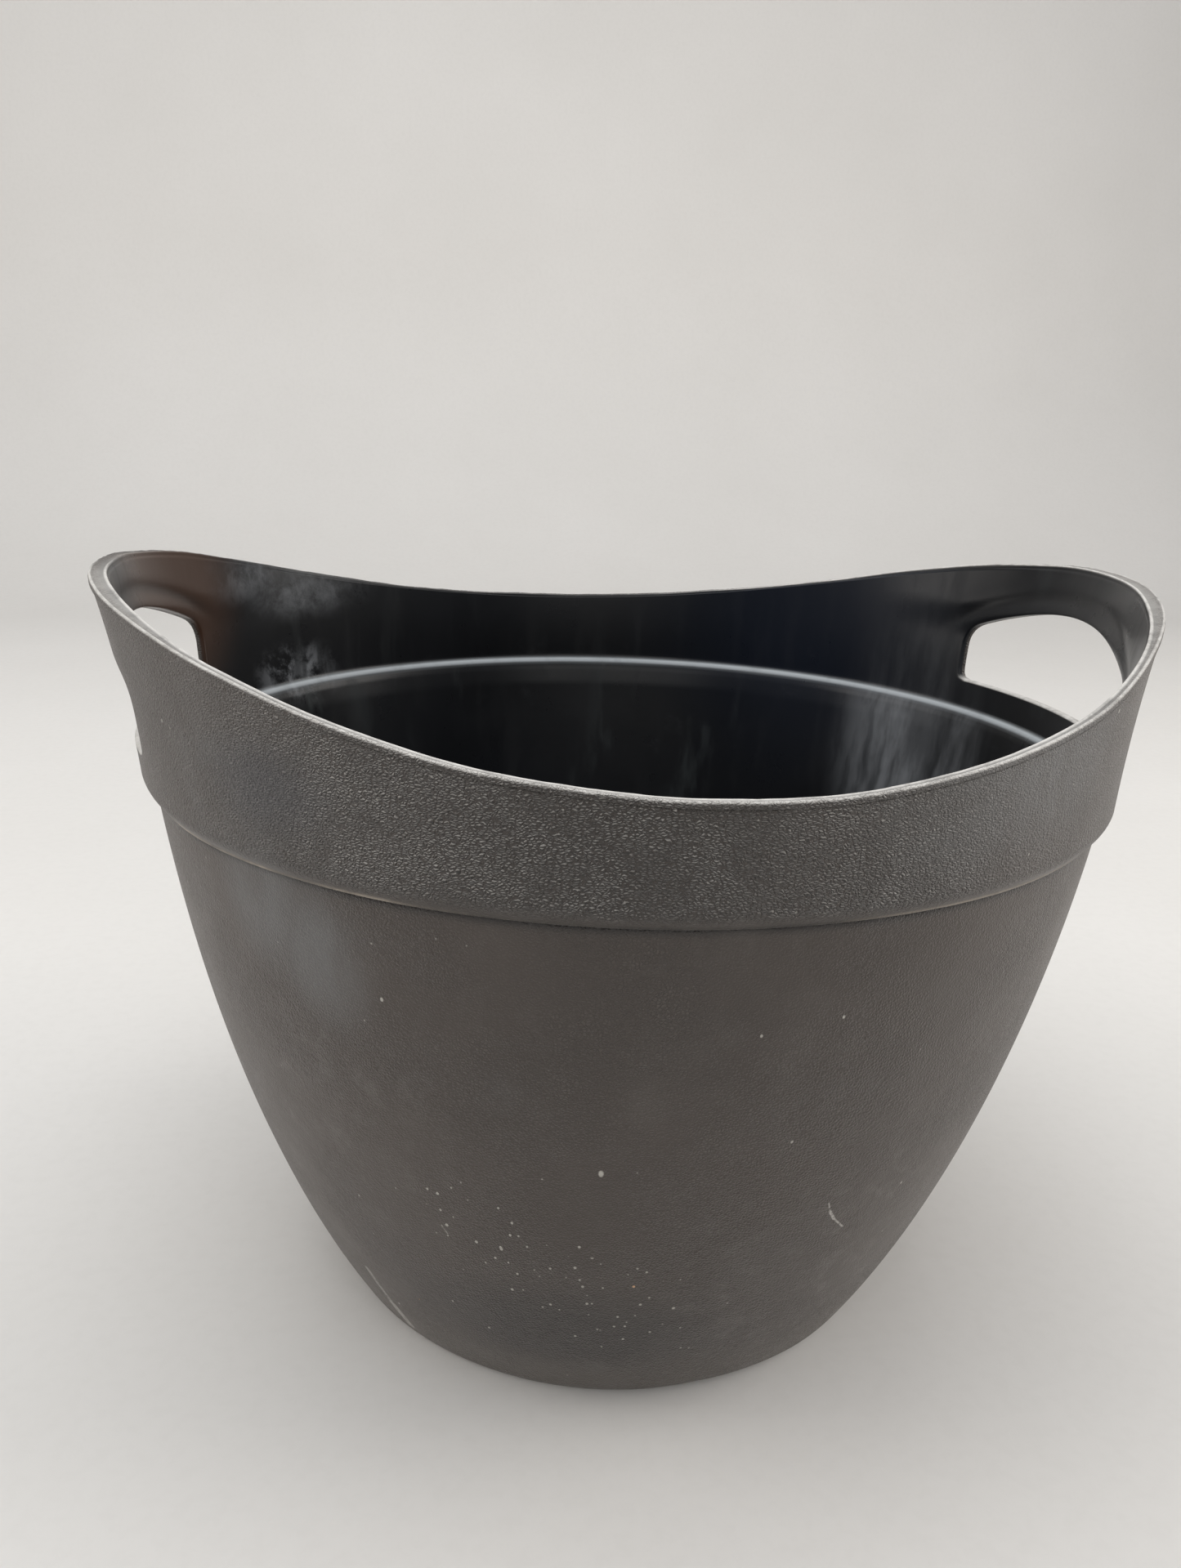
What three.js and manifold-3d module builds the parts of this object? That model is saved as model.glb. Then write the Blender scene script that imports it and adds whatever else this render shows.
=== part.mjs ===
// Florist bucket: a one-piece moulded tub with a flared collar, a saddle rim
// and two hand holes, closed at its drain hole by a push-in plug.
// Millimetres, +Z up. The origin is the centre of the underside, on the
// surface that the tub stands on. X runs through the two hand holes.
import * as THREE from "three";
import { mergeVertices } from "three/addons/utils/BufferGeometryUtils.js";
import Module from "manifold-3d";

// ---- driving dimensions -------------------------------------------------
const WALL = 3.0; // moulded wall, collar and floor
const SEGMENTS = 72; // facets round the tub

const FOOT_INNER_R = 90.5; // flat ring that the tub stands on
const FOOT_OUTER_R = 100.8;
const RECESS_Z = 3.2; // underside inside the foot ring
const FLOOR_Z = 6.4; // inner floor

const BODY_H = 190.5; // body's height, up to the crease under the collar
const BODY_R0 = 102.5; // body's outer radius, carried down to z = 0
const BODY_C = [109.3, -77.6, 38.6, -11.7]; // its swell with height, cubic and quartic terms included

const CREASE_Z = 189.8; // collar's shoulder: from here
const SHOULDER_Z = 195.0; // to here
const LEDGE_Z = 186.1; // foot of the ledge that the shoulder makes inside
const SHOULDER_R = 165.0;
const COLLAR_STRAIGHT = 0.55; // share of the collar's flare that grows evenly with height

const RIM_MEAN_Z = 239.6; // saddle rim: high over the hand holes
const RIM_SWING = 16.8;
const RIM_SECOND = 0.75;
const RIM_MEAN_R = 168.9; // the rim in plan: wider across the hand holes
const RIM_OVAL = 3.1;
const RIM_OVAL_SECOND = 1.5;
const TIP_FLARE = 3.0; // and flared once more at the two high points

const GRIP_EXTRA = 2.5; // extra wall in the grip strip over a hand hole
const GRIP_HALF_ANGLE = 38; // degrees, where it has faded out
const GRIP_FROM_Z = 223;
const GRIP_FULL_Z = 238;

const HOLE_SILL_Z = 205.4; // hand hole: its right half as an outline in Y and Z
const HOLE_TOP_Z = 239.7;
const HOLE_CORNERS = [
  // end of each piece, with its two control points where it curves
  { to: [53.5, HOLE_SILL_Z] },
  { c1: [56.0, HOLE_SILL_Z], c2: [57.0, 207.0], to: [57.3, 210.0] },
  { to: [58.2, 218.5] },
  { c1: [58.8, 223.8], c2: [57.0, 226.9], to: [52.5, 228.9] },
  { c1: [40.0, 234.0], c2: [20.0, HOLE_TOP_Z], to: [0, HOLE_TOP_Z] },
];

const DRAIN_TOP_R = 12.6; // tapered drain hole
const DRAIN_BOTTOM_R = 11.9;
const FIT_GAP = 0.3; // between the plug and the tub
const PLUG_FLANGE_R = 18;
const PLUG_FLANGE_T = 2.6;
const PLUG_END_Z = 1.2;
const PLUG_TOP_Z = 21;

// ---- surfaces -------------------------------------------------------------
const smooth = (a, b, x) => {
  const t = Math.min(1, Math.max(0, (x - a) / (b - a)));
  return t * t * (3 - 2 * t);
};
const bodyR = (z) => {
  const s = z / BODY_H;
  return (
    BODY_R0 +
    BODY_C[0] * s +
    BODY_C[1] * s ** 2 +
    BODY_C[2] * s ** 3 +
    BODY_C[3] * s ** 4
  );
};
// Degrees from angle a to the nearer of the two high points, at +X and -X.
const fromTip = (a) =>
  (Math.asin(Math.min(1, Math.abs(Math.sin(a)))) * 180) / Math.PI;
const rimZ = (a) =>
  RIM_MEAN_Z + RIM_SWING * Math.cos(2 * a) + RIM_SECOND * Math.cos(4 * a);
const rimR = (a) =>
  RIM_MEAN_R +
  RIM_OVAL * Math.cos(2 * a) +
  RIM_OVAL_SECOND * Math.cos(4 * a) +
  TIP_FLARE * (1 - smooth(5, 38, fromTip(a)));
// The collar's outer radius: a circle at the shoulder that grows to the rim's plan.
const collarR = (a, z) => {
  const v = (z - SHOULDER_Z) / (rimZ(a) - SHOULDER_Z);
  return (
    SHOULDER_R +
    (rimR(a) - SHOULDER_R) *
      (COLLAR_STRAIGHT * v + (1 - COLLAR_STRAIGHT) * v * v)
  );
};
const RIM_TOP_Z = rimZ(0);

// Extra wall thickness in the two grips, at angle a from +X and height z.
const gripExtra = (a, z) =>
  GRIP_EXTRA *
  (1 - smooth(16, GRIP_HALF_ANGLE, fromTip(a))) *
  smooth(GRIP_FROM_Z, GRIP_FULL_Z, z);

// ---- solids ---------------------------------------------------------------
const wasm = await Module();
wasm.setup();
function toSolid(geometry) {
  const g = geometry.index ? geometry.toNonIndexed() : geometry.clone();
  g.deleteAttribute("normal");
  g.deleteAttribute("uv");
  const m = mergeVertices(g, 1e-4);
  return new wasm.Manifold(
    new wasm.Mesh({
      numProp: 3,
      vertProperties: new Float32Array(m.attributes.position.array),
      triVerts: new Uint32Array(m.index.array),
    }),
  );
}
function toGeometry(solid) {
  const m = solid.getMesh();
  const g = new THREE.BufferGeometry();
  g.setAttribute(
    "position",
    new THREE.BufferAttribute(new Float32Array(m.vertProperties), 3),
  );
  g.setIndex(new THREE.BufferAttribute(new Uint32Array(m.triVerts), 1));
  g.computeVertexNormals();
  return g;
}
// A lathe about +Z of a closed profile of [radius, height] pairs.
function lathe(profile, segments) {
  const g = new THREE.LatheGeometry(
    profile.map(([r, z]) => new THREE.Vector2(r, z)),
    segments,
  );
  return g.rotateX(Math.PI / 2);
}

// ---- tub --------------------------------------------------------------------
// The section runs down the drain hole, out under the foot ring, up the outside,
// over the rim, down the inside and back across the floor.
const section = [
  [DRAIN_TOP_R, FLOOR_Z],
  [DRAIN_BOTTOM_R, RECESS_Z],
  [FOOT_INNER_R - 3.4, RECESS_Z],
  [FOOT_INNER_R - 0.8, 0.9],
  [FOOT_INNER_R, 0],
  [FOOT_OUTER_R, 0],
  [FOOT_OUTER_R + 1.5, 0.5],
  [bodyR(2.2), 2.2],
];
for (const z of [9, 20, 34, 50, 69, 90, 113, 138, 163])
  section.push([bodyR(z), z]);
section.push([bodyR(CREASE_Z), CREASE_Z]);
section.push([SHOULDER_R - 2.7, CREASE_Z + 0.8]);
section.push([SHOULDER_R - 1.2, CREASE_Z + 2.3]);
section.push([SHOULDER_R - 0.3, CREASE_Z + 3.9]);
section.push([SHOULDER_R, SHOULDER_Z]);
// Above the shoulder the section is first drawn as a plain upright wall, whose
// distance in from SHOULDER_R is the depth into the wall.
const collarStart = SHOULDER_Z + 0.01;
const steps = [0.2, 0.42, 0.64, 0.84];
for (const k of steps)
  section.push([SHOULDER_R, SHOULDER_Z + k * (RIM_TOP_Z - SHOULDER_Z)]);
section.push([SHOULDER_R, RIM_TOP_Z - 0.9]);
section.push([SHOULDER_R - 0.8, RIM_TOP_Z]);
section.push([SHOULDER_R - WALL + 0.6, RIM_TOP_Z]);
section.push([SHOULDER_R - WALL, RIM_TOP_Z - 0.7]);
for (const k of [...steps].reverse())
  section.push([SHOULDER_R - WALL, SHOULDER_Z + k * (RIM_TOP_Z - SHOULDER_Z)]);
section.push([SHOULDER_R - WALL, SHOULDER_Z]);
section.push([SHOULDER_R - WALL - 1.0, SHOULDER_Z - 2.0]);
section.push([bodyR(LEDGE_Z) - WALL + 0.2, LEDGE_Z + 2.6]);
section.push([bodyR(LEDGE_Z) - WALL - 0.3, LEDGE_Z]);
for (const z of [163, 138, 113, 90, 69, 50, 34, 20])
  section.push([bodyR(z) - WALL, z]);
section.push([bodyR(12) - WALL - 0.5, 12]);
section.push([bodyR(8) - WALL - 3.4, FLOOR_Z + 1.3]);
section.push([bodyR(8) - WALL - 7.5, FLOOR_Z]);
section.push([DRAIN_TOP_R, FLOOR_Z]);

const shell = lathe(section, SEGMENTS);
// The collar is bent to the saddle rim, and thickened inwards in the grips.
{
  const p = shell.attributes.position;
  for (let i = 0; i < p.count; i++) {
    const x = p.getX(i),
      y = p.getY(i),
      z = p.getZ(i);
    if (z < collarStart) continue;
    const a = Math.atan2(y, x);
    const depth = SHOULDER_R - Math.hypot(x, y);
    const zNew =
      SHOULDER_Z +
      ((z - SHOULDER_Z) * (rimZ(a) - SHOULDER_Z)) / (RIM_TOP_Z - SHOULDER_Z);
    const r =
      collarR(a, zNew) -
      Math.max(0, depth) * ((WALL + gripExtra(a, zNew)) / WALL);
    p.setXYZ(i, r * Math.cos(a), r * Math.sin(a), zNew);
  }
}

// One hand-hole outline, extruded right through both grips along X.
const outline = new THREE.Shape();
outline.moveTo(0, HOLE_SILL_Z);
for (const { c1, c2, to } of HOLE_CORNERS)
  if (c1) outline.bezierCurveTo(...c1, ...c2, ...to);
  else outline.lineTo(...to);
for (let i = HOLE_CORNERS.length - 1; i >= 0; i--) {
  const { c1, c2 } = HOLE_CORNERS[i];
  const to = i ? HOLE_CORNERS[i - 1].to : [0, HOLE_SILL_Z];
  if (c1) outline.bezierCurveTo(-c2[0], c2[1], -c1[0], c1[1], -to[0], to[1]);
  else outline.lineTo(-to[0], to[1]);
}
outline.closePath();
const holeCut = new THREE.ExtrudeGeometry(outline, {
  depth: 400,
  bevelEnabled: false,
  curveSegments: 7,
});
holeCut.translate(0, 0, -200);
// outline x -> world Y, outline y -> world Z, extrusion -> world X
holeCut.applyMatrix4(
  new THREE.Matrix4().makeBasis(
    new THREE.Vector3(0, 1, 0),
    new THREE.Vector3(0, 0, 1),
    new THREE.Vector3(1, 0, 0),
  ),
);
const tubSolid = toSolid(shell).subtract(toSolid(holeCut));

// ---- drain plug -----------------------------------------------------------
// A tapered bung with a wide flange and a finger knob, turned in one piece.
const taper = (z) =>
  DRAIN_BOTTOM_R +
  ((DRAIN_TOP_R - DRAIN_BOTTOM_R) * (z - RECESS_Z)) / (FLOOR_Z - RECESS_Z) -
  FIT_GAP;
const seat = FLOOR_Z + FIT_GAP;
const plugProfile = [
  [0, PLUG_END_Z],
  [taper(RECESS_Z) - 1.6, PLUG_END_Z],
  [taper(RECESS_Z) - 0.2, PLUG_END_Z + 1.2],
  [taper(RECESS_Z), RECESS_Z],
  [taper(FLOOR_Z), FLOOR_Z],
  [taper(FLOOR_Z), seat],
  [PLUG_FLANGE_R - 0.6, seat],
  [PLUG_FLANGE_R, seat + 0.6],
  [PLUG_FLANGE_R, seat + PLUG_FLANGE_T - 0.9],
  [PLUG_FLANGE_R - 0.9, seat + PLUG_FLANGE_T],
  [8.2, seat + PLUG_FLANGE_T + 0.5],
  [6.0, seat + PLUG_FLANGE_T + 2.0],
  [5.4, seat + PLUG_FLANGE_T + 4.6],
  [6.4, seat + PLUG_FLANGE_T + 7.0],
  [7.6, PLUG_TOP_Z - 2.6],
  [7.2, PLUG_TOP_Z - 1.0],
  [5.4, PLUG_TOP_Z - 0.2],
  [2.6, PLUG_TOP_Z],
  [0, PLUG_TOP_Z],
];
const plugSolid = toSolid(lathe(plugProfile, 28));

// ---- the scene ------------------------------------------------------------
function named(name, solid, colour, roughness) {
  const mesh = new THREE.Mesh(
    toGeometry(solid),
    new THREE.MeshStandardMaterial({
      color: new THREE.Color(colour),
      roughness,
      metalness: 0,
    }),
  );
  mesh.name = name;
  return mesh;
}
const group = new THREE.Group();
group.add(named("tub", tubSolid, "#48433f", 0.62));
group.add(named("drain_plug", plugSolid, "#1d1d1e", 0.75));

export default group;
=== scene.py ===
# Florist bucket: the looks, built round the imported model. Metres, +Z up; lengths
# below are in millimetres until a mesh is made.
import math

import bpy
import numpy as np
from mathutils import Matrix, Vector


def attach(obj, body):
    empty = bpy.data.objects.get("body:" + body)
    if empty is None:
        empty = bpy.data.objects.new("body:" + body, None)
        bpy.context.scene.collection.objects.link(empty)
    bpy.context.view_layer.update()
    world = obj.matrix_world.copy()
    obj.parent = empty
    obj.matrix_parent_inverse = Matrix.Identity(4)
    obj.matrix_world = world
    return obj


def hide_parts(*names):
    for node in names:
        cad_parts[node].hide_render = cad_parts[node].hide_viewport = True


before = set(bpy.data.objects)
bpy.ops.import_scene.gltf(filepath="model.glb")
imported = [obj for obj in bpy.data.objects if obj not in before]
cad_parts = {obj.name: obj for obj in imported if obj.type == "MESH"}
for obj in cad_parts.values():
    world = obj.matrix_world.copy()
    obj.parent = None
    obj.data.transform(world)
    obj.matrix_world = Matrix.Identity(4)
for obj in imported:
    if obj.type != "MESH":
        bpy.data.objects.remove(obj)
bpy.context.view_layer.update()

rng = np.random.RandomState(11)

# ---- the tub's surfaces, as in the CAD model ---------------------------------
WALL = 3.0
BODY_H = 190.5
CREASE_Z = 189.8
SHOULDER_Z = 195.0
SHOULDER_R = 165.0
FLOOR_Z = 6.4
RECESS_Z = 3.2
FOOT_INNER_R = 90.5
FOOT_OUTER_R = 100.8
DRAIN_TOP_R = 12.6
DRAIN_BOTTOM_R = 11.9
SILL_Z = 205.4
ARCH_Z = 239.7


def smooth(a, b, x):
    t = np.clip((np.asarray(x, float) - a) / (b - a), 0, 1)
    return t * t * (3 - 2 * t)


def body_r(z):
    s = np.asarray(z, float) / BODY_H
    return 102.5 + 109.3 * s - 77.6 * s**2 + 38.6 * s**3 - 11.7 * s**4


def from_tip(a):
    return np.degrees(np.arcsin(np.minimum(1, np.abs(np.sin(a)))))


def rim_z(a):
    return 239.6 + 16.8 * np.cos(2 * a) + 0.75 * np.cos(4 * a)


def rim_r(a):
    return (
        168.9
        + 3.1 * np.cos(2 * a)
        + 1.5 * np.cos(4 * a)
        + 3.0 * (1 - smooth(5, 38, from_tip(a)))
    )


def right_side(a):
    """1 at +X, fading to 0 by 40 degrees to either side."""
    off = np.abs(np.degrees(np.arctan2(np.sin(a), np.cos(a))))
    return 1 - smooth(3, 40, off)


def collar_r(a, z):
    v = (z - SHOULDER_Z) / (rim_z(a) - SHOULDER_Z)
    r = SHOULDER_R + (rim_r(a) - SHOULDER_R) * (0.55 * v + 0.45 * v * v)
    # one handle has been pulled a little further open than the other
    return r + 3.0 * right_side(a) * np.clip(v, 0, 1.05) ** 1.6


def wall_t(a, z):
    grip = 2.5 * (1 - smooth(16, 38, from_tip(a))) * smooth(223, 238, z)
    return WALL + grip


def ripple(a, z):
    """The slight unevenness of a moulded wall, in mm."""
    return (
        0.20 * np.sin(3 * a + 0.7) * np.sin(z / 62.0)
        + 0.10 * np.sin(7 * a + z / 37.0 + 2.0)
        + 0.05 * np.sin(13 * a - z / 21.0)
    ) * smooth(0, 25, z)


def groove(a, z):
    """Soft channel along the inside of each grip, in mm into the wall, and the bead under it; also a mask for the
    shade painted into the channel.
    """
    deg = from_tip(a)
    mid = 246.0 - 0.0305 * deg**2
    fade = 1 - smooth(19, 26, deg)
    d = z - mid
    channel = 0.75 * np.exp(-((d / 2.8) ** 2))
    bead = 0.16 * np.exp(-(((d + 4.8) / 1.9) ** 2))
    return fade * (channel - bead), fade * np.exp(-((d / 2.3) ** 2))


# ---- the columns: finer at the two hand holes --------------------------------
deg_cols = np.concatenate(
    [
        np.arange(-30, 30, 0.5),
        np.arange(30, 150, 1.0),
        np.arange(150, 210, 0.5),
        np.arange(210, 330, 0.75),
    ]
)
A = np.radians(deg_cols)
N = len(A)
ONE = np.ones(N)
# fine raggedness of the trimmed rim
ragged = rng.normal(0, 1, N)
ragged = 0.55 * ragged + 0.45 * np.roll(ragged, 1)
swell = 0.22 * np.sin(5 * A + 0.4) + 0.14 * np.sin(11 * A + 1.9) + 0.08 * np.sin(23 * A)
# the front of the foot is slightly scraped away on one side
scraped = np.exp(-(((deg_cols - 283) / 13.0) ** 2))

rows = []  # each: R, Z, inside, rim, step, crease, dark


def row(r, z, inside=0.0, rim=0.0, step=0.0, crease=0.0, dark=0.0):
    rows.append([np.broadcast_to(np.asarray(v, float), (N,)).copy() for v in (r, z, inside, rim, step, crease, dark)])
    return len(rows) - 1


# underside and foot
row(DRAIN_TOP_R + 0.5, FLOOR_Z, 1)
row(DRAIN_TOP_R + 0.12, FLOOR_Z - 0.12, 1)
row(DRAIN_TOP_R, FLOOR_Z - 0.5, 1)
row(DRAIN_BOTTOM_R, RECESS_Z + 0.4)
row(DRAIN_BOTTOM_R + 0.12, RECESS_Z + 0.1)
row(DRAIN_BOTTOM_R + 0.5, RECESS_Z)
for r in (20, 28, 29, 30, 31, 45, 60, 75, 84):
    # a shallow ring round the gate, left by the mould
    row(r, RECESS_Z - (0.5 if r in (29, 30) else 0))
row(FOOT_INNER_R - 4.2, RECESS_Z)
row(FOOT_INNER_R - 3.2, RECESS_Z - 0.25)
row(FOOT_INNER_R - 1.1, 0.9)
row(FOOT_INNER_R - 0.6, 0.3)
row(FOOT_INNER_R + 0.2, 0.05)
row(FOOT_INNER_R + 1.0, 0)
row((FOOT_INNER_R + FOOT_OUTER_R) / 2, 0)
lift = 1.0 * scraped
row(FOOT_OUTER_R - 0.8, 0.0 + 0.3 * lift)
row(FOOT_OUTER_R + 0.2, 0.1 + 0.7 * lift)
row(FOOT_OUTER_R + 1.0, 0.45 + lift)
row(FOOT_OUTER_R + 1.75, 1.1 + lift)
row(body_r(2.3) - 0.1, 2.3 + 0.8 * lift)
# body, outside
for z in list(np.arange(4, 182, 4.4)) + [183.5, 186.0, 187.6]:
    row(body_r(z) + ripple(A, z), z)
# crease: the collar's sharp lower edge, with a hairline of flash along it
wob = 0.05 * np.sin(17 * A) + 0.05 * ragged
for r, dz, c in (
    (0.0, -1.0, 0.0),
    (-0.14, -0.50, 0.0),
    (-0.32, -0.16, 0.3),
    (-0.18, 0.06, 0.6),
    (0.75, 0.22, 0.5),
    (1.22, 0.30, 1.0),
    (1.36, 0.50, 1.0),
    (1.36, 0.80, 0.7),
    (1.58, 1.20, 0.15),
):
    row(body_r(CREASE_Z) + ripple(A, CREASE_Z) + r + (wob * 0.5 if c > 0.4 else 0), CREASE_Z + dz, crease=c)
# shoulder
for r, z in ((163.15, 191.6), (163.75, 192.3), (164.25, 193.0), (164.65, 193.8), (164.88, 194.5)):
    row(r + ripple(A, z), z)
outer_v0 = None
V_ROWS = [0.0, 0.04] + [round(0.08 + 0.04 * k, 4) for k in range(19)]  # ..0.80
V_HOLE = (0.08, 0.80)
V_TOP = [0.825, 0.85, 0.873, 0.895, 0.917, 0.94, 0.96]


def z_at(v):
    return SHOULDER_Z + v * (rim_z(A) - SHOULDER_Z)


outer_index = {}
for v in V_ROWS + V_TOP:
    z = z_at(v)
    outer_index[v] = row(collar_r(A, z) + ripple(A, z), z)
# rim, over the top
top = rim_z(A) + swell
T = wall_t(A, rim_z(A))
rr = collar_r(A, rim_z(A)) + ripple(A, rim_z(A))
edge = 0.05 * ragged


# rim paint, scuffing together with painted sky sheen: palest in front and at the grips, least at the back
rim_wear_and_sheen = 0.30 + 0.70 * np.clip(1 - smooth(45, 80, deg_cols) + smooth(175, 196, deg_cols), 0, 1)


def rim_row(dz, d, rim, inside, rag=0.0):
    row(rr - d + rag * edge, top + dz + rag * 1.2 * edge, inside, rim * rim_wear_and_sheen)


rim_row(-2.0, 0.0, 0.0, 0)
rim_row(-1.3, -0.02, 0.0, 0)
rim_row(-0.8, -0.04, 0.10, 0, 0.4)
rim_row(-0.45, 0.02, 0.45, 0, 0.8)
rim_row(-0.14, 0.16, 0.95, 0, 1.0)
rim_row(0.12, 0.42, 1.0, 0, 1.4)
rim_row(0.10, 0.66, 0.85, 0, 1.2)
rim_row(-0.12, 0.95, 0.45, 0.1)
rim_row(-0.20, 1.25, 0.42, 0.2)
rim_row(-0.20, T - 1.25, 0.50, 0.8)
rim_row(-0.10, T - 0.95, 0.80, 0.9)
rim_row(0.08, T - 0.7, 1.0, 1, 1.0)
rim_row(0.04, T - 0.42, 1.0, 1, 1.0)
rim_row(-0.16, T - 0.18, 0.8, 1, 0.6)
rim_row(-0.45, T - 0.05, 0.35, 1)
rim_row(-0.9, T, 0.05, 1)
rim_row(-1.5, T, 0.0, 1)
# collar, inside
inner_index = {}


def inner_r(a, z):
    g, dark = groove(a, z)
    return collar_r(a, z) - wall_t(a, z) + g, dark


for v in reversed(V_ROWS + [0.82, 0.84, 0.86, 0.88, 0.90, 0.92, 0.94, 0.96, 0.975]):
    if v < 0.04:
        continue
    z = z_at(v)
    r, dark = inner_r(A, z)
    inner_index[v] = row(r + ripple(A, z), z, 1, dark=dark)
# inner shoulder: a rounded ledge
for r, z, s in (
    (162.0, 195.6, 0.0),
    (161.95, 194.8, 0.0),
    (161.6, 194.1, 0.25),
    (161.0, 193.35, 1.0),
    (160.3, 192.5, 0.75),
    (159.7, 191.7, 0.12),
    (159.1, 190.6, 0.0),
    (158.6, 189.4, 0.0),
    (158.25, 188.2, 0.0),
    (158.0, 186.6, 0.0),
):
    row(r + ripple(A, z), z, 1, step=s)
# body, inside
for z in [184, 181] + list(np.arange(176, 18, -5.2)):
    row(body_r(z) - WALL + ripple(A, z), z, 1)
row(body_r(14) - WALL - 0.2, 14, 1)
row(body_r(11) - WALL - 0.9, 11, 1)
row(body_r(9) - WALL - 2.0, 9.0, 1)
row(body_r(8) - WALL - 3.6, 7.6, 1)
row(body_r(8) - WALL - 5.8, 6.7, 1)
row(body_r(8) - WALL - 8.5, FLOOR_Z, 1)
for r in (80, 66, 52, 40, 30, 22, 16):
    row(r, FLOOR_Z, 1)

P = np.array([[r[0], r[1]] for r in rows])  # rows, 2, N
M = len(rows)
X = P[:, 0] * np.cos(A)
Y = P[:, 0] * np.sin(A)
Z = P[:, 1]
verts = [np.stack([X, Y, Z], -1).reshape(-1, 3)]
attrs = [np.stack([np.array([r[k] for r in rows]) for k in (2, 3, 4, 5, 6)], -1).reshape(-1, 5)]
count = M * N


def vid(i, j):
    return i * N + (j % N)


faces = []
hole_cols = []
for start in (-27.5, 152.5):
    hole_cols.append([int(np.argmin(np.abs(deg_cols - (start + 0.5 * k)))) for k in range(111)])
skip = np.zeros((M, N), bool)
for cols in hole_cols:
    for idx in (outer_index, inner_index):
        lo_i, hi_i = idx[V_HOLE[0]], idx[V_HOLE[1]]
        i0, i1 = min(lo_i, hi_i), max(lo_i, hi_i)
        for j in cols[:-1]:
            skip[i0:i1, j] = True
jj = np.arange(N)
for i in range(M):
    i2 = (i + 1) % M
    keep = jj[~skip[i]]
    k2 = (keep + 1) % N
    faces.append(np.stack([i * N + keep, i * N + k2, i2 * N + k2, i2 * N + keep], -1))

# ---- the hand holes ----------------------------------------------------------
def bezier(p0, p1, p2, p3, n):
    t = np.linspace(0, 1, n, endpoint=False)[:, None]
    p0, p1, p2, p3 = (np.array(p, float) for p in (p0, p1, p2, p3))
    return (1 - t) ** 3 * p0 + 3 * (1 - t) ** 2 * t * p1 + 3 * (1 - t) * t * t * p2 + t**3 * p3


def straight(p0, p1, n):
    t = np.linspace(0, 1, n, endpoint=False)[:, None]
    return (1 - t) * np.array(p0, float) + t * np.array(p1, float)


half = np.concatenate(
    [
        straight((0, SILL_Z), (53.5, SILL_Z), 160),
        bezier((53.5, SILL_Z), (56.0, SILL_Z), (57.0, 207.0), (57.3, 210.0), 80),
        straight((57.3, 210.0), (58.2, 218.5), 40),
        bezier((58.2, 218.5), (58.8, 223.8), (57.0, 226.9), (52.5, 228.9), 100),
        bezier((52.5, 228.9), (40.0, 234.0), (20.0, ARCH_Z), (0, ARCH_Z), 200),
        [[0, ARCH_Z]],
    ]
)
outline = np.concatenate([half, (half[1:-1] * [-1, 1])[::-1]])
tangent = np.roll(outline, -1, 0) - np.roll(outline, 1, 0)
tangent /= np.linalg.norm(tangent, axis=1)[:, None]
normal_out = np.stack([tangent[:, 1], -tangent[:, 0]], -1)  # away from the hole
CENTRE = np.array([0.0, 219.0])
polar = np.unwrap(np.arctan2(outline[:, 1] - CENTRE[1], outline[:, 0] - CENTRE[0]))
ROUND = 0.7  # rounding of the hole's edges


def solve_angle(y, z, depth_share, depth_mm, inner_end, a0):
    """The angle from the hole's middle at which the wall has that y, at a depth into the wall."""
    a = np.arcsin(np.clip(y / 168.0, -1, 1))
    for _ in range(12):
        r = depth_r(a + a0, z, depth_share, depth_mm, inner_end)
        a = np.arcsin(np.clip(y / r, -1, 1))
    return a


def depth_r(a, z, share, mm, inner_end):
    ro = collar_r(a, z) + ripple(a, z)
    ri = inner_r(a, z)[0] + ripple(a, z)
    if inner_end:
        return ri + mm
    return ro + (ri - ro) * share - mm


LIP = []  # (share, mm, inner_end, offset from the outline)
for th in (0, 22.5, 45, 67.5, 90):
    t = math.radians(th)
    LIP.append((0.0, ROUND * (1 - math.cos(t)), False, ROUND * (1 - math.sin(t))))
for s in (0.4, 0.62):
    LIP.append((s, 0.0, False, 0.0))
for th in (90, 67.5, 45, 22.5, 0):
    t = math.radians(th)
    LIP.append((0.0, ROUND * (1 - math.cos(t)), True, ROUND * (1 - math.sin(t))))
RINGS = 9

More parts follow.
